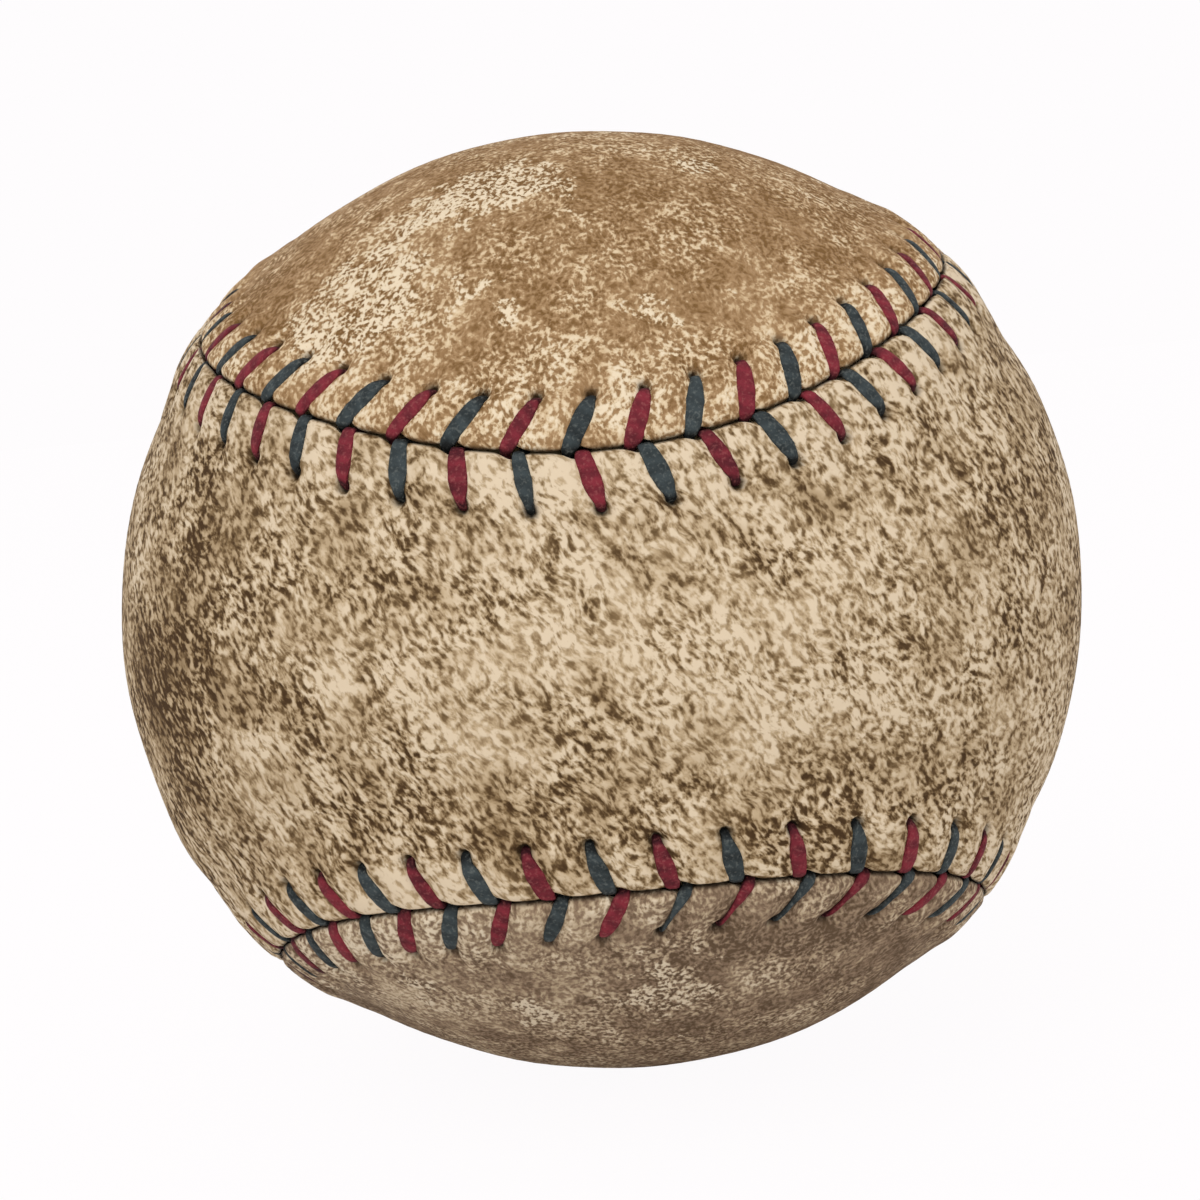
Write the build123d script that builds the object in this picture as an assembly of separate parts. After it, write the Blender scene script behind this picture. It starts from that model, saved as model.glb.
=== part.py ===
# A laced baseball: cushioned cork centre, four yarn windings, two figure-eight
# leather panels and the red and blue threads that lace them together.
# Millimetres, origin at the middle of the ball, +Z up, the waist of panel A facing -Y.
import os
from bisect import bisect_right
from math import asin, cos, pi, sin, tan

from build123d import *

# Cushioned cork centre
core_diameter = 20.6
cup_thickness = 3.1
washer_thickness = 1.6
jacket_thickness = 3.1

# Yarn windings, from the inside out
inner_wool_thickness = 14.3
white_wool_thickness = 1.7
outer_wool_thickness = 1.9
cotton_thickness = 0.6
cement_thickness = 0.15

# Cover and thread
leather_thickness = 1.2
thread_diameter = 0.85
hole_offset = 4.0
hole_lead = 1.3
seam_gap = 0.4

# Fits
seat_clearance = 0.05
thread_clearance = 0.06

# Seam line: shape of the figure-eight, and the unevenness of a hand-laced ball
seam_swing = 0.522
seam_depth = 1.18
stitch_count = 108
first_stitch = 0.32
slow_drift = 0.58
local_drift = 0.18
local_drift_centre = 50.4
seam_wander = 0.54
wander_cycles = 9

# Radii of the nested layers
core_radius = core_diameter / 2
cup_inner = core_radius + seat_clearance
cup_outer = cup_inner + cup_thickness
jacket_inner = cup_outer + seat_clearance
jacket_outer = jacket_inner + jacket_thickness
inner_wool_inner = jacket_outer + seat_clearance
inner_wool_outer = inner_wool_inner + inner_wool_thickness
white_wool_inner = inner_wool_outer + seat_clearance
white_wool_outer = white_wool_inner + white_wool_thickness
outer_wool_inner = white_wool_outer + seat_clearance
outer_wool_outer = outer_wool_inner + outer_wool_thickness
cotton_inner = outer_wool_outer + seat_clearance
cotton_outer = cotton_inner + cotton_thickness
cement_inner = cotton_outer + seat_clearance
cement_outer = cement_inner + cement_thickness
leather_inner = cement_outer + seat_clearance
ball_radius = leather_inner + leather_thickness


# Unit direction of the even figure-eight line at angle t
def figure_eight(t):
    x = sin(t) + seam_swing * sin(3 * t)
    y = -seam_depth * cos(2 * t)
    z = cos(t) - seam_swing * cos(3 * t)
    return Vector(x, y, z).normalized()


line_steps = 3600
line_angles = [2 * pi * k / line_steps for k in range(line_steps + 1)]
line_points = [figure_eight(t) for t in line_angles]
line_lengths = [0.0]
for before, after in zip(line_points, line_points[1:]):
    line_lengths.append(line_lengths[-1] + (after - before).length)
stitch_pitch = line_lengths[-1] * ball_radius / stitch_count

# The threads run under the seam margin and lift it into a ridge: straight runs sag below the round ball
thread_radius = thread_diameter / 2
crossing_shift = thread_radius + thread_clearance
over_sag = (hole_offset**2 + (hole_lead + crossing_shift) ** 2) / (8 * ball_radius)
under_sag = (hole_offset**2 + (stitch_pitch + hole_lead + crossing_shift) ** 2) / (8 * ball_radius)
margin_lift = thread_diameter + under_sag + 2 * thread_clearance
margin_top = ball_radius + margin_lift
margin_bottom = leather_inner + margin_lift
hole_radius = thread_radius + thread_clearance
margin_width = hole_offset + 2 * hole_radius
slope_run = 2 * margin_lift
core_edge = margin_width + slope_run / 3
slope_low = margin_width + 1.5 * slope_run
slope_low_radius = margin_top - 1.5 * margin_lift
slope_high = margin_width - 0.5 * slope_run
slope_high_radius = margin_top + 0.5 * margin_lift
over_radius = margin_top + over_sag + thread_clearance + thread_radius
under_radius = cement_outer + under_sag + thread_clearance + thread_radius
thread_bend = thread_radius + thread_clearance
slip_offset = thread_diameter + thread_bend
notch_depth = hole_radius + thread_clearance
lace_line = (notch_depth + hole_offset - hole_radius) / 2
notch_share = (crossing_shift + hole_radius + thread_clearance) / stitch_pitch
tongue_share = (notch_share + 0.5) / 2


# Point on the even line, by distance along it counted in stitches
def even_point(position):
    length = (position / stitch_count % 1.0) * line_lengths[-1]
    k = min(bisect_right(line_lengths, length), line_steps)
    share = (length - line_lengths[k - 1]) / (line_lengths[k] - line_lengths[k - 1])
    return figure_eight(line_angles[k - 1] + share * 2 * pi / line_steps)


# Across direction of a line at a point: towards panel B
def across_direction(before, middle, after):
    return middle.cross((after - before).normalized())


# Point on the laced seam at a stitch number, with the drift and wander of the lacing
def seam_point(stitch):
    turn = 2 * pi / stitch_count
    drift = slow_drift * cos(turn * (stitch + 0.5))
    near = turn * (stitch - local_drift_centre)
    drift += local_drift * (sin(5 * near) + sin(6 * near))
    position = stitch + first_stitch + drift
    point = even_point(position)
    side = across_direction(even_point(position - 0.02), point, even_point(position + 0.02))
    wander = -seam_wander * cos(wander_cycles * turn * stitch) / ball_radius
    return (point + side * wander).normalized()


# Unit direction at a distance from the seam: positive towards panel B, negative towards panel A
def spot(stitch, offset):
    point = seam_point(stitch)
    side = across_direction(seam_point(stitch - 0.02), point, seam_point(stitch + 0.02))
    return (point + side * (offset / ball_radius)).normalized()


# Directions of a closed line beside the seam at a constant offset
def side_line(offset):
    return [spot(stitch, offset) for stitch in range(stitch_count)]


# Directions of the scalloped leather edge of one panel: notched where the threads dive
def edge_line(side):
    line = []
    for stitch in range(stitch_count):
        line.append(spot(stitch - notch_share, side * notch_depth))
        line.append(spot(stitch + notch_share, side * notch_depth))
        line.append(spot(stitch + tongue_share, side * seam_gap / 2))
        line.append(spot(stitch + 1 - tongue_share, side * seam_gap / 2))
    return line


# Flat faces of a closed strip between two rows of points
def strip_faces(first, second):
    faces = []
    for k in range(len(first)):
        a, b = first[k - 1], first[k]
        c, d = second[k], second[k - 1]
        if abs((b - a).cross(d - a).dot(c - a)) < 1e-9:
            corners = [[a, b, c, d]]
        else:
            corners = [[a, b, c], [a, c, d]]
        faces += [Face(Wire.make_polygon(points)) for points in corners]
    return faces


# Closed ring along the seam through four rows of points
def ring_solid(rows):
    faces = []
    for first, second in zip(rows, rows[1:] + rows[:1]):
        faces += strip_faces(first, second)
    return Solid(Shell(faces))


# Ring between two lines, with radial walls
def seam_ring(first_line, second_line, low, high):
    rows = [
        [point * low for point in first_line],
        [point * high for point in first_line],
        [point * high for point in second_line],
        [point * low for point in second_line],
    ]
    return ring_solid(rows)


def ball_shell(inner, outer):
    return Sphere(outer) - Sphere(inner)


# Cushioned cork centre: cork ball, two rubber cups with a washer at their joint, rubber jacket
cork_core = Sphere(core_radius)
cup_joint = washer_thickness / 2 + seat_clearance
above_joint = Pos(0, 0, cup_joint) * Box(
    4 * cup_outer, 4 * cup_outer, 2 * cup_outer, align=(Align.CENTER, Align.CENTER, Align.MIN)
)
black_rubber_cup_top = ball_shell(cup_inner, cup_outer) & above_joint
black_rubber_cup_bottom = mirror(black_rubber_cup_top, about=Plane.XY)
joint_slab = Box(4 * cup_outer, 4 * cup_outer, washer_thickness)
rubber_washer = ball_shell(cup_inner, cup_outer) & joint_slab
red_rubber_jacket = ball_shell(jacket_inner, jacket_outer)

# Windings and the cement that holds the cover
grey_wool_winding_inner = ball_shell(inner_wool_inner, inner_wool_outer)
white_wool_winding = ball_shell(white_wool_inner, white_wool_outer)
grey_wool_winding_outer = ball_shell(outer_wool_inner, outer_wool_outer)
cotton_finish_winding = ball_shell(cotton_inner, cotton_outer)
rubber_cement_coat = ball_shell(cement_inner, cement_outer)

# Cover: the middle of each panel lies beyond the seam band
band_low = leather_inner - leather_thickness
band_high = margin_top + leather_thickness
seam_band = seam_ring(side_line(core_edge), side_line(-core_edge), band_low, band_high)
panel_middles = (ball_shell(leather_inner, ball_radius) - seam_band).solids()

# The lifted margins slope down to the panels, with the scalloped gap between them
slope_rows = [
    [point * slope_low_radius for point in side_line(slope_low)],
    [point * slope_high_radius for point in side_line(slope_high)],
    [point * slope_high_radius for point in side_line(-slope_high)],
    [point * slope_low_radius for point in side_line(-slope_low)],
]
seam_opening = seam_ring(edge_line(1), edge_line(-1), band_low, band_high)
margins = (ball_shell(margin_bottom, margin_top) & ring_solid(slope_rows)) - seam_opening


# The solid that lies nearest a point
def nearest_solid(solids, point):
    return min(solids, key=lambda solid: solid.distance_to(point))


# One leather panel: its middle, its margin, and the punched thread holes
def cover_panel(side):
    middle = nearest_solid(panel_middles, spot(0, side * slope_low) * ball_radius)
    margin = nearest_solid(margins.solids(), spot(0, side * lace_line) * margin_top)
    punches = []
    for stitch in range(stitch_count):
        hole = spot(stitch + hole_lead / stitch_pitch, side * hole_offset)
        start = Plane(origin=hole * leather_inner, z_dir=hole)
        punches.append(Solid.make_cylinder(hole_radius, over_radius - leather_inner, start))
    return middle.fuse(margin).cut(*punches)


cover_panel_a = cover_panel(-1)
cover_panel_b = cover_panel(1)


# Path of straight runs joined by small round bends
def bent_path(corners):
    edges = []
    end = corners[0]
    for before, corner, after in zip(corners, corners[1:], corners[2:]):
        back = (before - corner).normalized()
        ahead = (after - corner).normalized()
        middle = (back + ahead).normalized()
        half_angle = asin((ahead - back).length / 2)
        inset = thread_bend / tan(half_angle)
        centre = corner + middle * (thread_bend / sin(half_angle))
        bend_start = corner + back * inset
        bend_end = corner + ahead * inset
        edges.append(Edge.make_line(end, bend_start))
        edges.append(Edge.make_three_point_arc(bend_start, centre - middle * thread_bend, bend_end))
        end = bend_end
    edges.append(Edge.make_line(end, corners[-1]))
    return Wire(edges)


# One lacing thread: up through a hole, over to the seam, down, and forward under the other panel
def lacing_thread(first_side):
    corners = []
    for stitch in range(stitch_count):
        side = first_side if stitch % 2 == 0 else -first_side
        hole = spot(stitch + hole_lead / stitch_pitch, side * hole_offset)
        crossing_stitch = stitch - side * crossing_shift / stitch_pitch
        crossing = spot(crossing_stitch, 0)
        slip = spot(crossing_stitch, -side * slip_offset)
        corners += [hole * under_radius, hole * over_radius]
        corners += [crossing * over_radius, crossing * under_radius, slip * under_radius]
    last_run = corners[0] - corners[-1]
    start_tail = corners[0] - last_run * 0.35
    end_tail = corners[-1] + last_run * 0.35
    path = bent_path([start_tail] + corners + [end_tail])
    section = Plane(origin=start_tail, z_dir=last_run) * Circle(thread_radius)
    return sweep(section, path=path)


red_thread = lacing_thread(1)
blue_thread = lacing_thread(-1)

nodes = {
    "cork_core": cork_core,
    "black_rubber_cup_top": black_rubber_cup_top,
    "black_rubber_cup_bottom": black_rubber_cup_bottom,
    "rubber_washer": rubber_washer,
    "red_rubber_jacket": red_rubber_jacket,
    "grey_wool_winding_inner": grey_wool_winding_inner,
    "white_wool_winding": white_wool_winding,
    "grey_wool_winding_outer": grey_wool_winding_outer,
    "cotton_finish_winding": cotton_finish_winding,
    "rubber_cement_coat": rubber_cement_coat,
    "cover_panel_a": cover_panel_a,
    "cover_panel_b": cover_panel_b,
    "red_thread": red_thread,
    "blue_thread": blue_thread,
}
os.makedirs("parts", exist_ok=True)
for name, shape in nodes.items():
    export_step(shape, f"parts/{name}.step")
    box = shape.bounding_box()
    print(name, len(shape.solids()), "solid", round(shape.volume, 1), "mm3", box.min, box.max)
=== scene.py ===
from math import pi, radians

import bpy
import numpy as np
from mathutils import Matrix, Vector


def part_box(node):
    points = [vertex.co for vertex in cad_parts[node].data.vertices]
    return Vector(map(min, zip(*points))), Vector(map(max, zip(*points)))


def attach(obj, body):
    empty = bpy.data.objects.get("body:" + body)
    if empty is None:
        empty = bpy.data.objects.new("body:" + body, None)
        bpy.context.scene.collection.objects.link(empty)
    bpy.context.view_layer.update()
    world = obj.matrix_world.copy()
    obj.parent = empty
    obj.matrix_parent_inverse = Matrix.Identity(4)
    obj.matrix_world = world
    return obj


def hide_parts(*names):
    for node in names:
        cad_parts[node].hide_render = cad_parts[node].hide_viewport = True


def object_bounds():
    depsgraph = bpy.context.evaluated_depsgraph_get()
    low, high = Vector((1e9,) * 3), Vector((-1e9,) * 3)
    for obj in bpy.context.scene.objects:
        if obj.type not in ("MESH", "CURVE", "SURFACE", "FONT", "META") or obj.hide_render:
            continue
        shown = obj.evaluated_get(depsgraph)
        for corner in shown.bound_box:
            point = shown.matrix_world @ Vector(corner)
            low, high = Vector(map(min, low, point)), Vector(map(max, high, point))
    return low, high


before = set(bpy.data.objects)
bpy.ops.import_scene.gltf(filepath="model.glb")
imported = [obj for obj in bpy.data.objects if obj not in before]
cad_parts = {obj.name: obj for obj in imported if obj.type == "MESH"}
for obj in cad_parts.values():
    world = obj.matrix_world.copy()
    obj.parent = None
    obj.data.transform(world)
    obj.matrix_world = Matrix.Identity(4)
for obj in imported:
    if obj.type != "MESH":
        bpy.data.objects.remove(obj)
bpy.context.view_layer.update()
bpy.ops.object.select_all(action="DESELECT")

mm = 0.001  # the scene is in metres, and sizes below are in millimetres
perMetre = 1000  # millimetres, to turn the size of a pattern into its scale
seatGap = 0.05  # between the cement coat and the leather
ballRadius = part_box("cover_panel_a")[1][0] / mm
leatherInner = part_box("rubber_cement_coat")[1][0] / mm + seatGap
print("frame loaded, ball radius", round(ballRadius, 2), "mm")


# Seam line: the same figure-eight, drift and wander as the solids
seam = {
    "swing": 0.522, "depth": 1.18, "samples": 7201,
    "stitches": 108, "first": 0.32,
    "slowDrift": 0.58, "slowShift": 0.5,
    "localDrift": 0.18, "localCycles": (5, 6), "localCentre": 50.4,
    "wander": 0.54, "wanderCycles": 9,
    "tangentStep": 0.02,  # stitches to each side, to find the seam's direction
    "holeOffset": 3.5, "holeLead": 1.3, "crossShift": 0.42,
}


def unit(v):
    return v / np.linalg.norm(v, axis=-1, keepdims=True)


def smooth(x):
    x = np.clip(x, 0.0, 1.0)
    return x * x * (3 - 2 * x)


def figureEight(t):
    x = np.sin(t) + seam["swing"] * np.sin(3 * t)
    y = -seam["depth"] * np.cos(2 * t)
    z = np.cos(t) - seam["swing"] * np.cos(3 * t)
    return unit(np.stack([x, y, z], -1))


lineAngles = np.linspace(0, 2 * pi, seam["samples"])
lineSteps = np.linalg.norm(np.diff(figureEight(lineAngles), axis=0), axis=1)
lineLengths = np.concatenate([[0.0], np.cumsum(lineSteps)])
pitch = lineLengths[-1] * ballRadius / seam["stitches"]
turn = 2 * pi / seam["stitches"]


def linePosition(stitch):
    drift = seam["slowDrift"] * np.cos(turn * (stitch + seam["slowShift"]))
    for cycles in seam["localCycles"]:
        drift = drift + seam["localDrift"] * np.sin(cycles * turn * (stitch - seam["localCentre"]))
    return stitch + seam["first"] + drift


def lineAngle(position):
    share = np.mod(position / seam["stitches"], 1.0) * lineLengths[-1]
    return np.interp(share, lineLengths, lineAngles)


def seamPoint(stitch):
    position = linePosition(stitch)
    step = seam["tangentStep"]
    before, point, after = (figureEight(lineAngle(position + k * step)) for k in (-1, 0, 1))
    across = np.cross(point, unit(after - before))  # towards panel B
    wander = -seam["wander"] * np.cos(seam["wanderCycles"] * turn * stitch) / ballRadius
    return unit(point + across * wander[..., None])


def seamFrame(stitch):
    step = seam["tangentStep"]
    before, point, after = (seamPoint(stitch + k * step) for k in (-1, 0, 1))
    along = unit(after - before)
    return point, along, np.cross(point, along)


def spot(stitch, offset):
    point, _, across = seamFrame(stitch)
    return unit(point + across * (offset / ballRadius)[..., None])


# Leather surface: the ridge over the lacing, pillows between stitches, holes and unevenness
leather = {
    "ridge": 0.64, "ridgeFlat": 1.2, "ridgeEnd": 9.2,
    "frontSwell": 0.36, "frontTwist": 0.5, "topSink": 0.4, "bottomSink": 0.5, "bottomTilt": 0.35,
    "sinkStart": 4.0, "sinkRun": 14.0, "lobeRise": 1.5,
    "gapMiddle": 0.05, "gapStitch": 0.42, "notch": 0.7, "edgeDrop": 0.3, "edgeRound": 0.55,
    "pillow": 0.46, "pillowStart": 0.8, "pillowEnd": 5.6, "pillowFade": 2.0,
    # holes: depth, radius, how far past the leg, and how far their painted shade reaches
    "holeDepth": 0.7, "holeRadius": 0.4, "holePast": 0.2, "holeShadeReach": 0.43,
    # where the seam is worn flat, at the ball's left and right: shares of the radius, then shares lost
    "endStart": 0.5, "endRun": 0.35, "endEdge": 0.85, "endPillow": 0.5, "endNotch": 0.9,
    # dirt all over each panel, side -1 being panel A; painted shade of the pillows, lighter on top and
    # darker beside the legs; and how quickly painted shade darkens panel B towards its bottom lobe
    "grime": {-1: 0.1, 1: 0.83}, "pillowShade": 0.3, "lobeShadeRise": 1.1,
    # rows of the mesh, in millimetres from the cut edge and in shares of the way to the spine
    "marginRows": [0, 0.1, 0.25, 0.45, 0.7, 1.0, 1.35, 1.7, 2.05, 2.4, 2.75, 3.1, 3.4, 3.65,
                   3.9, 4.15, 4.4, 4.7, 5.1, 5.6, 6.2, 6.9],
    "footRows": (4.5, 0.3), "innerRows": (0.0, 0.25, 0.5, 0.75, 1.0), "middleRows": 17,
    "columns": 1620, "spineShare": 0.72, "samples": 20001, "overlap": 3,
    "farFromSeam": 9.0, "joinWithin": 0.02,
}

# Dents and swellings: azimuth and elevation from the front in degrees, reach, height
dents = [
    (-53, -46, 6, -0.7), (-69, 47, 5, -0.4), (-64, -26, 4.5, 0.35), (73, 31, 5, 0.3),
    (44, -55, 7, 0.25),
]
# Lumps: height, and two waves that cross, each with its turns along x, y and z and its start
lumpWaves = [
    (0.08, (3.1, 0, 1.3), 0.4, (0, -1.7, 2.3), 1.1),
    (0.08, (7.3, 0, -4.1), 2.0, (0, 3.3, 6.2), pi / 2),
    (0.04, (15.7, 9.1, 0), 0.0, (-8.4, 0, 17.3), 0.7),
]


def legStitch(stitch, distance, side):
    # stitches from the nearest leg, measured along the seam; legs lean forward to their holes
    share = np.clip(distance / seam["holeOffset"], 0.0, 1.0)
    lean = seam["holeLead"] * share - side * seam["crossShift"] * (1 - share)
    ahead = stitch - lean / pitch
    return ahead - np.round(ahead)


def seamEnds(x):
    return smooth((np.abs(x) - leather["endStart"]) / leather["endRun"])


def markShare(direction, azimuth, elevation, reach):
    a, e = radians(azimuth), radians(elevation)
    centre = np.array([np.sin(a) * np.cos(e), -np.cos(a) * np.cos(e), np.sin(e)])
    away = np.linalg.norm(direction - centre, axis=-1) * ballRadius / reach
    return np.exp(-away ** 2)


def lumps(direction):
    height = np.zeros(direction.shape[:-1])
    for rise, first, firstStart, second, secondStart in lumpWaves:
        wave = np.sin(direction @ np.array(first) + firstStart)
        height += rise * wave * np.sin(direction @ np.array(second) + secondStart)
    for azimuth, elevation, reach, rise in dents:
        height += rise * markShare(direction, azimuth, elevation, reach)
    return height


def leatherHeight(stitch, distance, edge, direction, side):
    x, z = direction[..., 0], direction[..., 2]
    ends = seamEnds(x)
    if side < 0:
        body = leather["frontSwell"] + leather["frontTwist"] * x * z
    else:
        body = -leather["topSink"] * smooth(z * leather["lobeRise"])
        body -= (leather["bottomSink"] - leather["bottomTilt"] * x) * smooth(-z * leather["lobeRise"])
    away = smooth((distance - leather["sinkStart"]) / leather["sinkRun"])
    lift = smooth((leather["ridgeEnd"] - distance) / (leather["ridgeEnd"] - leather["ridgeFlat"]))
    height = body * away + leather["ridge"] * lift + lumps(direction)
    fall = np.clip(1 - (distance - edge) / leather["edgeRound"], 0.0, 1.0)
    height -= leather["edgeDrop"] * fall ** 2 * (1 - leather["endEdge"] * ends)
    toLeg = np.clip(2 * np.abs(legStitch(stitch, distance, side)), 0, 1)
    reach = smooth((leather["pillowEnd"] - distance) / leather["pillowFade"])
    reach = reach * smooth(distance / leather["pillowStart"]) * (1 - leather["endPillow"] * ends)
    pillow = (np.sin(pi / 2 * toLeg) - 0.5) * reach
    height += leather["pillow"] * pillow
    fromHole = legStitch(stitch, np.full(z.shape, seam["holeOffset"]), side) * pitch
    gap = np.hypot(fromHole, distance - seam["holeOffset"] - leather["holePast"])
    height -= leather["holeDepth"] * np.exp(-(gap / leather["holeRadius"]) ** 2)
    return ballRadius + height, gap, pillow


def edgeOffset(stitch):
    share = (stitch - np.round(stitch)) * pitch
    notch = leather["gapStitch"] * (1 - leather["endNotch"] * seamEnds(seamPoint(stitch)[:, 0]))
    return leather["gapMiddle"] + notch * np.exp(-(share / leather["notch"]) ** 2)


# Stains and scuffs, two stains below also holding painted shade: azimuth and elevation from the front in
# degrees, reach, strength
stainsAndShade = [
    (-50, 3, 9, 0.55), (-60, -6, 9, 0.55), (-30, 21, 7, 0.55), (-16, 20, 5, 0.3), (-14, 8, 5, 0.3),
    (-32, -13, 5, 0.75), (-36, -2, 6, 0.25), (-6, -14, 5, 0.2), (-14, -8, 4, 0.3), (0, -9, 5, 0.2),
    (9, -13, 5, 0.25), (8, -24, 7, 0.55), (30, -20, 7, 0.75), (42, 6, 7, 0.45), (18, 12, 5, 0.3),
    (60, -4, 5, 0.3), (15, 0, 7, -0.4), (-11, -4, 6, -0.4), (2, -3, 6, -0.25), (-38, -8, 4, -0.9),
    (39, -9, 8, -0.75), (-30, 7, 6, -0.4), (-22, 0, 5, -0.3), (-3, 13, 7, -0.65), (28, 9, 6, -0.5),
    (53, 24, 6, -0.2), (-28, 33, 6, -0.55), (-6, 31, 8, -0.45), (27, 31, 7, -0.75), (-38, 54, 6, -0.4),
    (20, 47, 6, 0.2), (-15, 51, 5, -0.5), (-32, -33, 6, -0.5), (-18, -41, 7, -0.8), (16, -22, 3, 0.4),
    # these two darken the strip under the lower seam on the right: a browner margin, and painted shade
    # under the legs
    (12, -30.2, 3.5, 0.8), (28, -30.2, 3.5, 0.8),
    (160, 20, 12, -0.8), (200, -25, 12, 0.6), (120, -10, 9, 0.6), (240, 10, 9, -0.6),
]
scuffs = [
    (-27, 41, 5, 0.9), (-34, 40, 4, 0.85), (-27, 57, 4, 0.65), (-8, 59, 4, 0.85), (10, 39, 3, 0.7),
    (-10, 39, 3, 0.5), (32, 60, 3, 0.6), (76, 54, 6, 0.5), (5, -37, 4, 0.9), (-14, -43, 3, 0.6),
    (11, -51, 4, 0.4), (-30, -37, 4, 0.4), (150, 60, 9, 0.8), (230, -55, 8, 0.8), (190, 45, 6, 0.7),
]
lobeElevation = 30  # in front, marks higher or lower than this are on panel B and the rest on A
backAzimuth = 90  # marks past this are on both panels


def markField(marks, direction, side):
    field = np.zeros(direction.shape[:-1])
    for azimuth, elevation, reach, strength in marks:
        onLobe = abs(elevation) > lobeElevation
        if onLobe == (side > 0) or abs(azimuth) > backAzimuth:
            field += strength * markShare(direction, azimuth, elevation, reach)
    return field


# Panels and threads follow the seam line, which no primitive or operator gives, so their points
# are worked out here, and operators then join and smooth the mesh
def gridFaces(rows, columns):
    row = np.arange(rows - 1)[:, None] * columns
    here = np.arange(columns)[None, :]
    after = (here + 1) % columns
    faces = [row + here, row + after, row + columns + after, row + columns + here]
    return np.stack(faces, -1).reshape(-1, 4).tolist()


def meshObject(name, points, faces):
    mesh = bpy.data.meshes.new(name)
    mesh.from_pydata((points * mm).tolist(), [], faces)
    piece = bpy.data.objects.new(name, mesh)
    bpy.context.collection.objects.link(piece)
    return piece


def addAttribute(piece, name, values):
    attribute = piece.data.attributes.new(name, "FLOAT", "POINT")
    attribute.data.foreach_set("value", np.asarray(values, dtype=np.float32))


def finishMesh(piece, joinWithin):
    bpy.ops.object.select_all(action="DESELECT")
    piece.select_set(True)
    bpy.context.view_layer.objects.active = piece
    bpy.ops.object.mode_set(mode="EDIT")
    bpy.ops.mesh.select_all(action="SELECT")
    if joinWithin:
        bpy.ops.mesh.remove_doubles(threshold=joinWithin * mm)
    bpy.ops.mesh.normals_make_consistent(inside=False)
    bpy.ops.object.mode_set(mode="OBJECT")
    bpy.ops.object.shade_smooth()
    piece.select_set(False)


def panelSpine(even, side):
    # the middle line of the panel, towards which its rows run from the seam
    if side < 0:
        angle = np.arctan2(even[:, 0], -even[:, 1]) * leather["spineShare"]
        return np.stack([np.sin(angle), -np.cos(angle), 0 * angle], -1)
    angle = np.arctan2(even[:, 2], even[:, 1]) * leather["spineShare"]
    return np.stack([0 * angle, np.cos(angle), np.sin(angle)], -1)


def coverPanel(name, side):
    columns = leather["columns"]
    overlap = leather["overlap"]
    dense = np.linspace(-overlap, seam["stitches"] + overlap, leather["samples"])
    position = np.arange(columns) * seam["stitches"] / columns
    stitch = np.interp(position, linePosition(dense), dense)
    spine = panelSpine(figureEight(lineAngle(position)), side)
    edge = edgeOffset(stitch)
    lastRow = leather["marginRows"][-1]
    far = np.full(columns, leather["farFromSeam"])
    rows = []
    fields = {"seamDistance": [], "dirtAndShade": [], "scuff": [], "hole": []}

    def addRow(direction, radius, distance, gap=far, pillow=0 * far):
        rows.append(direction * radius[:, None])
        stainAndShade = markField(stainsAndShade, direction, side) + leather["grime"][side]
        fields["seamDistance"].append(distance)
        # stains and dirt, plus painted shade of the pillows: lighter on their tops, darker beside the legs
        fields["dirtAndShade"].append(stainAndShade - leather["pillowShade"] * pillow)
        fields["scuff"].append(markField(scuffs, direction, side))
        # painted shade in and around each punched hole
        fields["hole"].append(np.exp(-(gap / leather["holeShadeReach"]) ** 4))

    # inside of the leather, from the panel's spine to the margin, then up the cut edge
    innerRadius = np.full(columns, leatherInner)
    marginEnd = spot(stitch, side * np.full(columns, lastRow))
    for share in leather["innerRows"]:
        addRow(unit(marginEnd * share + spine * (1 - share)), innerRadius, far)
    for offset in leather["footRows"]:
        addRow(spot(stitch, side * (edge + offset)), innerRadius + leather["ridge"], 0 * far)
    # outside, from the cut edge over the margin and back to the spine
    for row in leather["marginRows"]:
        distance = edge + row * (1 - edge / lastRow)
        direction = spot(stitch, side * distance)
        radius, gap, pillow = leatherHeight(stitch, distance, edge, direction, side)
        addRow(direction, radius, distance, gap, pillow)
    column = np.arange(columns)
    partner = (columns // 2 - column if side < 0 else -column) % columns
    for share in np.linspace(1, 0, leather["middleRows"] + 1)[1:]:
        direction = unit(marginEnd * share + spine * (1 - share))
        distance = lastRow + np.linalg.norm(direction - marginEnd, axis=-1) * ballRadius
        if share == 0:
            distance = (distance + distance[partner]) / 2  # both halves meet at one height
        radius, gap, pillow = leatherHeight(stitch, distance, edge, direction, side)
        addRow(direction, radius, distance, gap, pillow)

    points = np.concatenate(rows)
    piece = meshObject(name, points, gridFaces(len(rows), columns))
    for field, values in fields.items():
        addAttribute(piece, field, np.concatenate(values))
    # painted shade: panel B turns darker and greyer from its top lobe down to its bottom one
    lobeShade = smooth(unit(points)[:, 2] * leather["lobeShadeRise"] + 0.5) if side > 0 else np.ones(len(points))
    addAttribute(piece, "lobeShade", lobeShade)
    addAttribute(piece, "lobed", np.full(len(points), float(side > 0)))
    finishMesh(piece, leather["joinWithin"])
    return piece


# Thread: one unbroken strand, over the leather to the seam and under the other panel
thread = {
    "halfWidth": 0.54, "halfHeight": 0.2, "holeSize": 0.3, "bedded": 0.1, "diveDepth": 0.9,
    "sides": 10, "squareness": 0.75, "finer": 2, "underBend": 1.5,
    "spread": 0.12, "ragged": 0.05, "seed": 5,
    "endSink": 0.1, "endNarrow": 0.22,
    "wornSide": 1, "wornStitches": (48, 54), "wornAway": 0.8, "wornRoot": 0.65,
}
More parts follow.
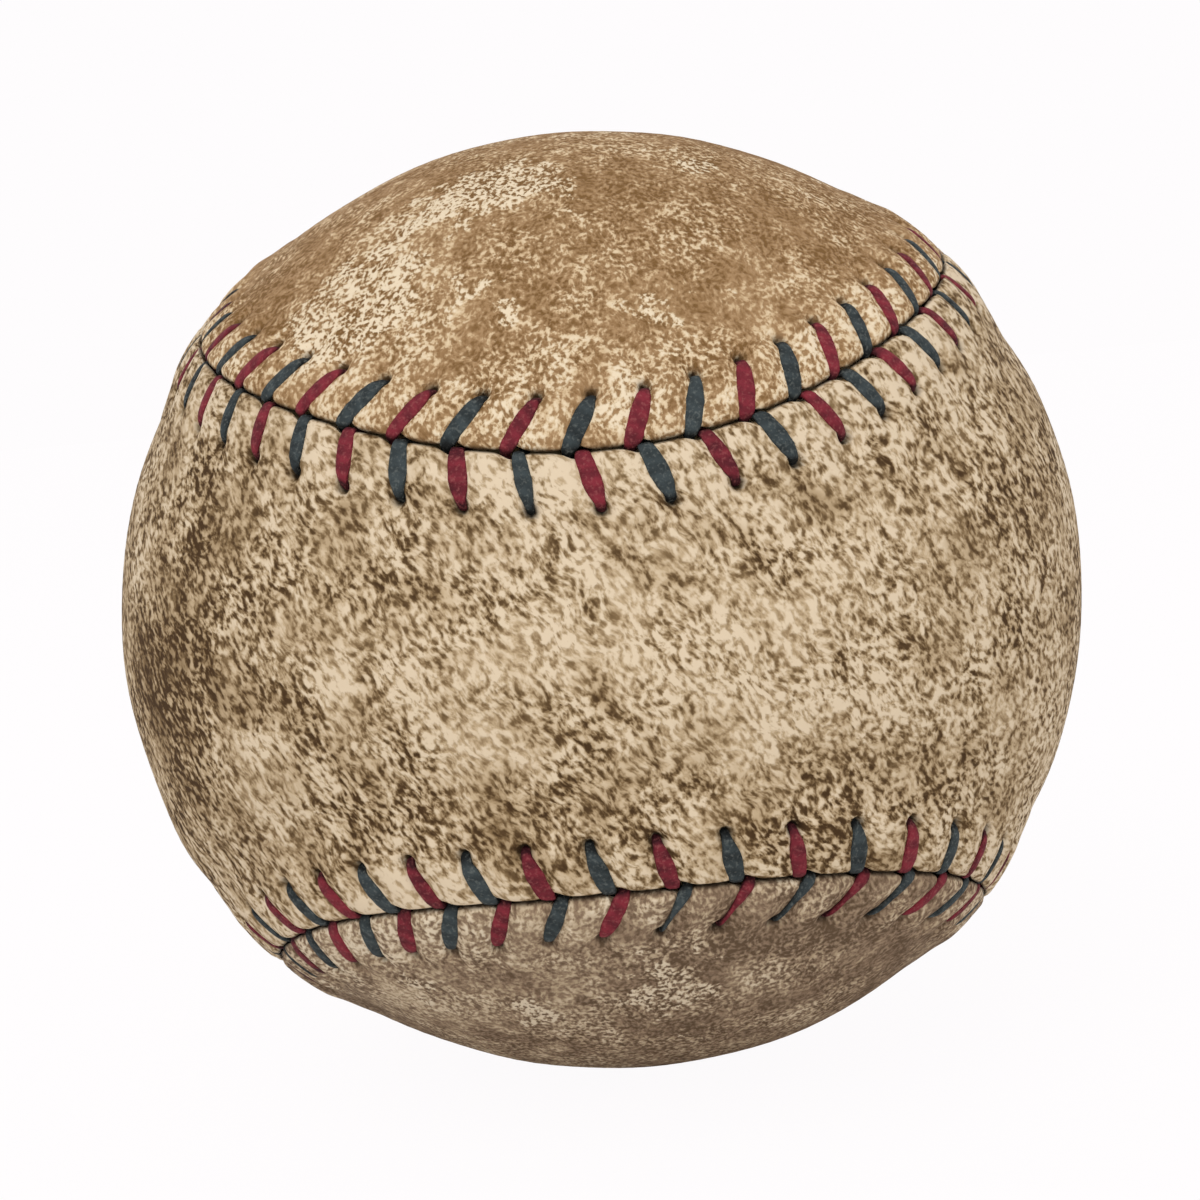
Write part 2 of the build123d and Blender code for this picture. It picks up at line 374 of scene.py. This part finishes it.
# each row: share of the way from seam to hole, millimetres past the hole, height, width share
legProfile = [
    (1.0, 0.10, -1.4, 0.55), (1.0, 0.06, -0.55, 0.60), (0.93, 0.0, -0.16, 0.66),
    (0.78, 0.0, 0.0, 0.92), (0.55, 0.0, 0.03, 1.13), (0.32, 0.0, 0.02, 1.08),
    (0.14, 0.0, -0.06, 0.98), (0.03, 0.0, -0.26, 0.86), (-0.03, 0.0, -0.85, 0.62),
    (-0.3, 0.0, -1.45, 0.56), (-0.95, 0.0, -1.45, 0.56),
]


def threadRoute(firstSide, random):
    # a ring for each row of the profile at each stitch: centre, seam direction, half width, shade
    stitch = np.arange(seam["stitches"])
    side = np.where(stitch % 2 == 0, firstSide, -firstSide).astype(float)
    width = 1 + thread["spread"] * random.uniform(-1, 1, len(stitch))
    shade = random.uniform(0, 1, len(stitch))
    first, last = thread["wornStitches"]
    worn = thread["wornAway"] * ((side == thread["wornSide"]) & (stitch > first) & (stitch < last))
    rings = []
    for share, past, height, size in legProfile:
        over = max(share, 0)
        lean = seam["holeLead"] * over - side * seam["crossShift"] * (1 - over)
        if share < 0:
            lean = lean + (pitch + seam["holeLead"]) * (-share) ** thread["underBend"]
        place = stitch + lean / pitch
        direction = spot(place, side * (share * seam["holeOffset"] + past))
        ends = seamEnds(direction[:, 0])
        sink = thread["bedded"] + thread["endSink"] * ends
        radius = ballRadius + leather["ridge"] + lumps(direction) - sink + height
        flat = smooth((height + thread["diveDepth"]) / thread["diveDepth"])
        fullness = size * flat + thread["holeSize"] / thread["halfWidth"] * (1 - flat)
        thin = (1 - worn * smooth(over / thread["wornRoot"])) * (1 - thread["endNarrow"] * ends)
        halfWidth = thread["halfWidth"] * width * fullness * thin
        rings.append((direction * radius[:, None], seamFrame(place)[1], halfWidth, shade - ends))
    centres, alongs, widths, shades = (np.stack(column, 1) for column in zip(*rings))
    return centres.reshape(-1, 3), alongs.reshape(-1, 3), widths.ravel(), shades.ravel()


def lacingThread(name, firstSide):
    random = np.random.RandomState(thread["seed"] + firstSide)
    path, along, widths, shades = threadRoute(firstSide, random)
    # finer rings between those of the route, on a smooth curve through them
    count = len(path)
    index = np.arange(count)
    steps = np.arange((count - 1) * thread["finer"] + 1) / thread["finer"]
    base = np.minimum(steps.astype(int), count - 2)
    share = (steps - base)[:, None]
    p0, p1, p2, p3 = (path[np.clip(base + shift, 0, count - 1)] for shift in (-1, 0, 1, 2))
    curve = p1 + 0.5 * share * (
        p2 - p0 + share * (2 * p0 - 5 * p1 + 4 * p2 - p3 + share * (3 * (p1 - p2) + p3 - p0))
    )
    widths = np.interp(steps, index, widths) * (1 + thread["ragged"] * random.uniform(-1, 1, len(steps)))
    shades = np.interp(steps, index, shades)
    along = unit(np.stack([np.interp(steps, index, along[:, k]) for k in range(3)], -1))
    ahead = unit(np.gradient(curve, axis=0))
    sideways = unit(along - ahead * np.sum(along * ahead, -1, keepdims=True))
    upward = np.cross(ahead, sideways)

    # a flattened round, swept along the curve and closed at both ends
    sides = thread["sides"]
    angle = np.arange(sides) * 2 * pi / sides
    cosine, sine = np.cos(angle), np.sin(angle)
    flatCosine = np.sign(cosine) * np.abs(cosine) ** thread["squareness"]
    flatSine = np.sign(sine) * np.abs(sine) ** thread["squareness"]
    across = sideways[:, None, :] * (flatCosine[None, :] * widths[:, None])[..., None]
    outward = upward[:, None, :] * (flatSine * thread["halfHeight"])[None, :, None]
    points = (curve[:, None, :] + across + outward).reshape(-1, 3)
    caps = [list(range(sides)), list(range(len(points) - sides, len(points)))]
    piece = meshObject(name, points, gridFaces(len(curve), sides) + caps)

    length = np.concatenate([[0], np.cumsum(np.linalg.norm(np.diff(curve, axis=0), axis=1))])
    addAttribute(piece, "threadLength", np.repeat(length, sides))
    addAttribute(piece, "threadTurn", np.tile(np.arange(sides) / sides, len(curve)))
    addAttribute(piece, "shade", np.repeat(shades, sides))
    addAttribute(piece, "height", np.linalg.norm(points, axis=1) - ballRadius - leather["ridge"])
    finishMesh(piece, 0)
    return piece


# Materials
def hexColor(text):
    channels = [int(text[k:k + 2], 16) / 255 for k in (1, 3, 5)]
    linear = [c / 12.92 if c <= 0.04045 else ((c + 0.055) / 1.055) ** 2.4 for c in channels]
    return (*linear, 1.0)


def addNode(tree, kind, inputs, **settings):
    node = tree.nodes.new(kind)
    for name, value in settings.items():
        setattr(node, name, value)
    for name, value in inputs.items():
        if isinstance(value, bpy.types.NodeSocket):
            tree.links.new(value, node.inputs[name])
        else:
            node.inputs[name].default_value = value
    return node.outputs


def newMaterial(name):
    material = bpy.data.materials.new(name)
    material.use_nodes = True
    tree = material.node_tree
    return material, tree, tree.nodes["Principled BSDF"].inputs


hide = {
    # sizes in millimetres: pits, rows of pits, blotches, patches, and where pits gather or are faint
    "pit": 0.35, "row": 0.9, "blotch": 2.2, "patch": 9.0, "gather": 5.0, "scuffEdge": 2.6,
    "sway": 2.6, "swayBy": 0.5,
    # degrees from level, and how far each pattern is drawn out: less than 1 is longer
    "lean": -55, "pitStretch": (0.56, 0.5, 1), "rowStretch": (0.42, 0.5, 1),
    "broadLean": -50, "broadStretch": (0.5, 1, 1), "lobeStretch": (1.15, 0.9, 0.9),
    # how strongly each pattern shows, all added up to how clean a spot is
    "stainAndShade": -0.31, "pitEdges": (0.28, 0.67), "gatherEdges": (0.35, 0.65), "pitDepth": (0.54, 1.0),
    "lobePit": -0.12, "rowDepth": 0.6, "blotchDepth": 0.85, "patchDepth": 0.8,
    "raggedness": 2.2, "rubbedEdges": (1.55, 1.75), "netDepth": 0.7, "netLevel": 0.28,
    "marginFrom": 5.5, "marginTo": 1.5, "openClean": 0.56, "marginClean": 0.73,
    # colours from dirty to clean
    "front": {0.0: "#4a351f", 0.2: "#624b30", 0.4: "#8b7250",
              0.6: "#b69d7a", 0.75: "#cab28f", 1.0: "#e6d2b4"},
    "top": {0.0: "#7f5e37", 0.3: "#a07e57", 0.52: "#b29069",
            0.64: "#d2b58d", 0.8: "#e6cea9", 1.0: "#f2dfc0"},
    # the bottom lobe's colours: a darker, greyer copy of the top's, as painted shade
    "bottom": {0.0: "#67533f", 0.3: "#8a735d", 0.5: "#a18a70",
               0.65: "#bca688", 0.85: "#d8c4a7", 1.0: "#e6d5ba"},
    # painted shade of the seam crevice, from and to these millimetres off the seam, and of the punched
    # holes
    "seamCreviceShade": "#2a1f15", "seamFrom": 0.3, "seamTo": 0.06, "seamShade": 0.8, "holeShadeColor": "#15100b",
    "dirtyRough": 0.8, "cleanRough": 0.6, "ior": 1.5, "specular": 0.1, "bump": 0.7, "relief": 0.2,
}


def leatherMaterial():
    # worn horsehide: cream on the raised grain, brown dirt packed in the hollows between
    material, tree, surface = newMaterial("worn_horsehide")
    place = addNode(tree, "ShaderNodeTexCoord", {})["Object"]
    names = ("dirtAndShade", "seamDistance", "lobeShade", "lobed", "scuff", "hole")
    fields = [addNode(tree, "ShaderNodeAttribute", {}, attribute_name=field)["Fac"] for field in names]
    dirtAndShade, seamDistance, lobeShade, lobed, scuff, hole = fields

    # grain pulled long down to the right on panel A, in swaying rows, and shorter on B's lobes
    sway = addNode(tree, "ShaderNodeTexNoise", {"Vector": place, "Scale": perMetre / hide["sway"]})["Color"]
    sway = addNode(tree, "ShaderNodeVectorMath", {0: sway, 1: (0.5,) * 3}, operation="SUBTRACT")[0]
    sway = {0: sway, 1: (hide["swayBy"] * mm * 2,) * 3, 2: place}
    grain = addNode(tree, "ShaderNodeVectorMath", sway, operation="MULTIPLY_ADD")[0]
    lobe = {0: grain, 1: hide["lobeStretch"]}
    lobe = addNode(tree, "ShaderNodeVectorMath", lobe, operation="MULTIPLY")[0]
    places = []
    for lean, stretch in (("lean", "pitStretch"), ("lean", "rowStretch"), ("broadLean", "broadStretch")):
        drawn = {"Vector": grain, "Angle": radians(hide[lean])}
        drawn = addNode(tree, "ShaderNodeVectorRotate", drawn, rotation_type="Y_AXIS")[0]
        drawn = addNode(tree, "ShaderNodeVectorMath", {0: drawn, 1: hide[stretch]}, operation="MULTIPLY")[0]
        drawn = addNode(tree, "ShaderNodeMix", {0: lobed, 4: drawn, 5: lobe}, data_type="VECTOR")[1]
        places.append(drawn)
    pitPlace, rowPlace, broadPlace = places

    # how clean: pits, rows, blotches and patches, less on stains and painted shade and more beside the seam
    clean = addNode(tree, "ShaderNodeMath", {0: dirtAndShade, 1: hide["stainAndShade"]}, operation="MULTIPLY")[0]
    low, high = hide["pitEdges"]
    pit = addNode(tree, "ShaderNodeTexNoise", {
        "Vector": pitPlace, "Scale": perMetre / hide["pit"], "Detail": 2, "Roughness": 0.5})["Fac"]
    pit = addNode(tree, "ShaderNodeMapRange", {
        "Value": pit, "From Min": low, "From Max": high, "To Min": -0.5, "To Max": 0.5},
        interpolation_type="SMOOTHSTEP")[0]
    low, high = hide["gatherEdges"]
    faint, strong = hide["pitDepth"]
    depth = addNode(tree, "ShaderNodeTexNoise", {
        "Vector": place, "Scale": perMetre / hide["gather"], "Detail": 2})["Fac"]
    depth = addNode(tree, "ShaderNodeMapRange", {
        "Value": depth, "From Min": low, "From Max": high, "To Min": faint, "To Max": strong})[0]
    depth = {0: lobed, 1: hide["lobePit"], 2: depth}
    depth = addNode(tree, "ShaderNodeMath", depth, operation="MULTIPLY_ADD")[0]
    clean = addNode(tree, "ShaderNodeMath", {0: pit, 1: depth, 2: clean}, operation="MULTIPLY_ADD")[0]
    for pattern, where in (("row", rowPlace), ("blotch", broadPlace), ("patch", broadPlace)):
        wave = addNode(tree, "ShaderNodeTexNoise", {
            "Vector": where, "Scale": perMetre / hide[pattern], "Detail": 2, "Roughness": 0.6})["Fac"]
        wave = addNode(tree, "ShaderNodeMath", {0: wave, 1: 0.5}, operation="SUBTRACT")[0]
        wave = {0: wave, 1: hide[pattern + "Depth"], 2: clean}
        clean = addNode(tree, "ShaderNodeMath", wave, operation="MULTIPLY_ADD")[0]
    # scuffs: the top of the grain rubbed back to a cream net with ragged edges
    low, high = hide["rubbedEdges"]
    rubbed = addNode(tree, "ShaderNodeTexNoise", {
        "Vector": place, "Scale": perMetre / hide["scuffEdge"], "Detail": 4, "Roughness": 0.65})["Fac"]
    rubbed = {0: rubbed, 1: hide["raggedness"], 2: scuff}
    rubbed = addNode(tree, "ShaderNodeMath", rubbed, operation="MULTIPLY_ADD")[0]
    rubbed = addNode(tree, "ShaderNodeMapRange", {
        "Value": rubbed, "From Min": low, "From Max": high}, interpolation_type="SMOOTHSTEP")[0]
    net = {0: pit, 1: hide["netDepth"], 2: hide["netLevel"]}
    net = addNode(tree, "ShaderNodeMath", net, operation="MULTIPLY_ADD")[0]
    clean = addNode(tree, "ShaderNodeMath", {0: rubbed, 1: net, 2: clean}, operation="MULTIPLY_ADD")[0]
    beside = addNode(tree, "ShaderNodeMapRange", {
        "Value": seamDistance, "From Min": hide["marginFrom"], "From Max": hide["marginTo"],
        "To Min": hide["openClean"], "To Max": hide["marginClean"]}, interpolation_type="SMOOTHSTEP")[0]
    clean = addNode(tree, "ShaderNodeMath", {0: clean, 1: beside}, operation="ADD", use_clamp=True)[0]

    coats = []
    for side in ("front", "top", "bottom"):
        coats.append(addNode(tree, "ShaderNodeValToRGB", {0: clean})[0])
        stops = tree.nodes[-1].color_ramp.elements
        for share in list(hide[side])[1:-1]:
            stops.new(share)
        for stop, shade in zip(stops, hide[side].values()):
            stop.color = hexColor(shade)
    front, top, bottom = coats
    # painted shade: panel B blends to the darker bottom ramp towards its bottom lobe
    color = addNode(tree, "ShaderNodeMix", {0: lobeShade, 6: bottom, 7: top}, data_type="RGBA")[2]
    color = addNode(tree, "ShaderNodeMix", {0: lobed, 6: front, 7: color}, data_type="RGBA")[2]

    # painted shade: a dark line in the crevice where the panels meet, and dark punched holes
    creviceShade = addNode(tree, "ShaderNodeMapRange", {
        "Value": seamDistance, "From Min": hide["seamFrom"], "From Max": hide["seamTo"],
        "To Max": hide["seamShade"]}, interpolation_type="SMOOTHSTEP")[0]
    for share, dark in ((creviceShade, "seamCreviceShade"), (hole, "holeShadeColor")):
        color = {0: share, 6: color, 7: hexColor(hide[dark])}
        color = addNode(tree, "ShaderNodeMix", color, data_type="RGBA")[2]
    tree.links.new(color, surface["Base Color"])

    rough = addNode(tree, "ShaderNodeMapRange", {
        "Value": clean, "To Min": hide["dirtyRough"], "To Max": hide["cleanRough"]})[0]
    tree.links.new(rough, surface["Roughness"])
    surface["IOR"].default_value = hide["ior"]
    surface["Specular IOR Level"].default_value = hide["specular"]
    bump = {"Strength": hide["bump"], "Distance": hide["relief"] * mm, "Height": clean}
    tree.links.new(addNode(tree, "ShaderNodeBump", bump)[0], surface["Normal"])
    return material


linen = {
    # sizes in millimetres: one turn of the plies, fibres drawn coarse enough to show, wear and dust
    "plyTurn": 1.1, "fibre": 0.3, "wear": 1.0, "dust": 0.22, "fray": 5.0,
    # heights between which the thread goes from dark to worn clean, and what each adds
    "lowest": -0.4, "highest": -0.05, "lowClean": -0.45, "highClean": 0.25,
    "wearShare": 0.9, "plyShare": 0.13, "shadeShare": 0.2, "darkFrom": 0.3, "cleanFrom": 1.0,
    "dustEdges": (0.52, 0.72), "dustShare": 0.45,
    "rough": 0.75, "specular": 0.2, "plyRelief": 0.35, "bump": 0.7, "relief": 0.12,
}


def threadMaterial(name, clean, dark, dusty):
    # waxed linen thread: flattened plies, worn dull on top and darker where it dives into the holes
    material, tree, surface = newMaterial(name)
    place = addNode(tree, "ShaderNodeTexCoord", {})["Object"]
    names = ("threadLength", "threadTurn", "height", "shade")
    fields = [addNode(tree, "ShaderNodeAttribute", {}, attribute_name=field)["Fac"] for field in names]
    length, around, height, shade = fields
    fibre = {"Vector": place, "Scale": perMetre / linen["fibre"], "Detail": 3}
    fibre = addNode(tree, "ShaderNodeTexNoise", fibre)["Fac"]
    twist = addNode(tree, "ShaderNodeMath", {0: around, 1: 2 * pi}, operation="MULTIPLY")[0]
    for value, gain in ((length, 2 * pi / linen["plyTurn"]), (fibre, linen["fray"])):
        twist = addNode(tree, "ShaderNodeMath", {0: value, 1: gain, 2: twist}, operation="MULTIPLY_ADD")[0]
    ply = addNode(tree, "ShaderNodeMath", {0: twist}, operation="SINE")[0]

    wear = {"Vector": place, "Scale": perMetre / linen["wear"], "Detail": 3}
    wear = addNode(tree, "ShaderNodeTexNoise", wear)["Fac"]
    share = addNode(tree, "ShaderNodeMapRange", {
        "Value": height, "From Min": linen["lowest"], "From Max": linen["highest"],
        "To Min": linen["lowClean"], "To Max": linen["highClean"]})[0]
    for value, gain in ((wear, "wearShare"), (ply, "plyShare"), (shade, "shadeShare")):
        share = {0: value, 1: linen[gain], 2: share}
        share = addNode(tree, "ShaderNodeMath", share, operation="MULTIPLY_ADD")[0]
    share = addNode(tree, "ShaderNodeMapRange", {
        "Value": share, "From Min": linen["darkFrom"], "From Max": linen["cleanFrom"]})[0]
    color = {0: share, 6: hexColor(dark), 7: hexColor(clean)}
    color = addNode(tree, "ShaderNodeMix", color, data_type="RGBA")[2]
    low, high = linen["dustEdges"]
    dust = {"Vector": place, "Scale": perMetre / linen["dust"], "Detail": 2}
    dust = addNode(tree, "ShaderNodeTexNoise", dust)["Fac"]
    dust = addNode(tree, "ShaderNodeMapRange", {
        "Value": dust, "From Min": low, "From Max": high, "To Max": linen["dustShare"]})[0]
    color = addNode(tree, "ShaderNodeMix", {0: dust, 6: color, 7: hexColor(dusty)}, data_type="RGBA")[2]
    tree.links.new(color, surface["Base Color"])

    surface["Roughness"].default_value = linen["rough"]
    surface["Specular IOR Level"].default_value = linen["specular"]
    relief = {0: ply, 1: linen["plyRelief"], 2: fibre}
    relief = addNode(tree, "ShaderNodeMath", relief, operation="MULTIPLY_ADD")[0]
    bump = {"Strength": linen["bump"], "Distance": linen["relief"] * mm, "Height": relief}
    tree.links.new(addNode(tree, "ShaderNodeBump", bump)[0], surface["Normal"])
    return material


# Cover and lacing
leatherSkin = leatherMaterial()
for name, side in (("cover_panel_a", -1), ("cover_panel_b", 1)):
    piece = coverPanel(name + "_leather", side)
    piece.data.materials.append(leatherSkin)
    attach(piece, "root")
    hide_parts(name)
    print("panel", name, len(piece.data.polygons), "faces")

# each thread: side of the seam that it starts on, then clean, dark and dusty colours
threadColors = {
    "red_thread": (1, "#842a36", "#3a0f17", "#a35c5a"),
    "blue_thread": (-1, "#3e4749", "#111516", "#757a76"),
}
for name, (firstSide, clean, dark, dusty) in threadColors.items():
    piece = lacingThread(name + "_lacing", firstSide)
    piece.data.materials.append(threadMaterial("waxed_" + name, clean, dark, dusty))
    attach(piece, "root")
    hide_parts(name)
    print("thread", name, len(piece.data.polygons), "faces")

# Inner layers keep their solids, with their own finishes; grain sizes are in millimetres
inside = {
    "pressed_cork": {  # crumbs of two browns, matt
        "nodes": ["cork_core"],
        "colors": ("#a9825a", "#6f4d30"), "grain": 1.2, "rough": 0.85, "stretch": (1, 1, 1)},
    "moulded_black_rubber": {  # nearly even black with a dull sheen
        "nodes": ["black_rubber_cup_top", "black_rubber_cup_bottom"],
        "colors": ("#1d1c1b", "#262423"), "grain": 2.0, "rough": 0.6, "stretch": (1, 1, 1)},
    "moulded_red_rubber": {  # brick red with a dull sheen
        "nodes": ["rubber_washer", "red_rubber_jacket"],
        "colors": ("#8a2b22", "#74221b"), "grain": 2.0, "rough": 0.6, "stretch": (1, 1, 1)},
    "wound_grey_wool": {  # streaks of light and dark yarn
        "nodes": ["grey_wool_winding_inner", "grey_wool_winding_outer"],
        "colors": ("#8d8a86", "#5f5c59"), "grain": 1.0, "rough": 0.95, "stretch": (1, 1, 6)},
    "wound_white_wool": {  # cream streaks
        "nodes": ["white_wool_winding"],
        "colors": ("#e2dccd", "#bdb5a3"), "grain": 1.0, "rough": 0.95, "stretch": (6, 1, 1)},
    "wound_cotton": {  # finer cream streaks
        "nodes": ["cotton_finish_winding"],
        "colors": ("#e6dfcd", "#c9bfa8"), "grain": 0.5, "rough": 0.9, "stretch": (1, 6, 1)},
    "rubber_cement": {  # amber film, a little shiny
        "nodes": ["rubber_cement_coat"],
        "colors": ("#c9b184", "#b39a6c"), "grain": 3.0, "rough": 0.35, "stretch": (1, 1, 1)},
}
insideBump = {"Strength": 0.4, "Distance": 0.2 * mm}


def insideMaterial(name, layer):
    # two close colours mottled at the size of the crumb, fibre or yarn
    material, tree, surface = newMaterial(name)
    place = addNode(tree, "ShaderNodeTexCoord", {})["Object"]
    place = addNode(tree, "ShaderNodeVectorMath", {0: place, 1: layer["stretch"]}, operation="MULTIPLY")[0]
    mottle = {"Vector": place, "Scale": perMetre / layer["grain"], "Detail": 3}
    mottle = addNode(tree, "ShaderNodeTexNoise", mottle)["Fac"]
    first, second = (hexColor(color) for color in layer["colors"])
    color = addNode(tree, "ShaderNodeMix", {0: mottle, 6: first, 7: second}, data_type="RGBA")[2]
    tree.links.new(color, surface["Base Color"])
    surface["Roughness"].default_value = layer["rough"]
    bump = addNode(tree, "ShaderNodeBump", {**insideBump, "Height": mottle})[0]
    tree.links.new(bump, surface["Normal"])
    return material


for finish, layer in inside.items():
    material = insideMaterial(finish, layer)
    for name in layer["nodes"]:
        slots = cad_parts[name].data.materials
        slots.clear()
        slots.append(material)
print("inside layers finished")

# Floor, light and camera; places and sizes of the stage are in metres
studio = {
    "floorSize": 6, "paper": "#f4f3f2", "paperRough": 0.9, "white": "#fefcfd", "glow": 1.025,
    "glowShare": 0.95, "world": 0.62,
    "lamps": {
        "key_light": {"place": (-0.25, -0.55, 0.6), "size": 0.5, "power": 2.2},
        "fill_light": {"place": (0.5, -0.6, 0.15), "size": 0.6, "power": 1.0},
    },
}
white = hexColor(studio["white"])
bpy.ops.mesh.primitive_plane_add(size=studio["floorSize"], location=(0, 0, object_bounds()[0][2]))
floor = bpy.context.object
floor.name = "studio_floor"
# white paper: matt, and plain white to the camera apart from a trace of the ball's shadow
material, tree, surface = newMaterial("white_paper")
surface["Base Color"].default_value = hexColor(studio["paper"])
surface["Roughness"].default_value = studio["paperRough"]
seen = addNode(tree, "ShaderNodeLightPath", {})["Is Camera Ray"]
seen = addNode(tree, "ShaderNodeMath", {0: seen, 1: studio["glowShare"]}, operation="MULTIPLY")[0]
glow = addNode(tree, "ShaderNodeEmission", {"Color": white, "Strength": studio["glow"]})[0]
paper = tree.nodes["Principled BSDF"].outputs[0]
paper = addNode(tree, "ShaderNodeMixShader", {0: seen, 1: paper, 2: glow})[0]
tree.links.new(paper, tree.nodes["Material Output"].inputs["Surface"])
floor.data.materials.append(material)

world = bpy.data.worlds.new("studio")
bpy.context.scene.world = world
world.use_nodes = True
tree = world.node_tree
background = tree.nodes["Background"].inputs
background["Color"].default_value = white
path = addNode(tree, "ShaderNodeLightPath", {})
seen = {0: path["Is Camera Ray"], 1: path["Is Glossy Ray"]}
seen = addNode(tree, "ShaderNodeMath", seen, operation="MAXIMUM")[0]
strength = addNode(tree, "ShaderNodeMix", {0: seen, 2: studio["world"], 3: 1.0}, data_type="FLOAT")[0]
tree.links.new(strength, background["Strength"])

for name, lamp in studio["lamps"].items():
    bpy.ops.object.light_add(type="AREA", location=lamp["place"])
    light = bpy.context.object
    light.name = name
    light.data.size = lamp["size"]
    light.data.energy = lamp["power"]
    light.rotation_euler = (-Vector(lamp["place"])).to_track_quat("-Z", "Y").to_euler()

view = {
    "roll": 5.39, "pitch": 7.01, "yaw": -0.79,  # degrees
    "distance": 4.2,  # ball radii
    "image": 1200, "outline": 476, "centre": 601.5,  # pixels of the photograph
    "sensor": 36, "nearest": 0.005,
}
turned = (
    Matrix.Rotation(radians(view["roll"]), 3, "Z")
    @ Matrix.Rotation(radians(view["pitch"]), 3, "X")
    @ Matrix.Rotation(radians(view["yaw"]), 3, "Y")
)
right, up, back = (Vector((row[0], -row[2], row[1])) for row in turned)
placed = Matrix((right, up, back)).transposed().to_4x4()
placed.translation = back * view["distance"] * ballRadius * mm
bpy.ops.object.camera_add()
camera = bpy.context.object
camera.name = "photo_camera"
camera.matrix_world = placed
focal = view["outline"] * (view["distance"] ** 2 - 1) ** 0.5  # pixels
camera.data.sensor_width = view["sensor"]
camera.data.lens = focal / view["image"] * view["sensor"]
camera.data.shift_x = -(view["centre"] - view["image"] / 2) / view["image"]
camera.data.clip_start = view["nearest"]
bpy.context.scene.camera = camera
bpy.context.scene.view_settings.view_transform = "Standard"
print("stage, light and camera set")
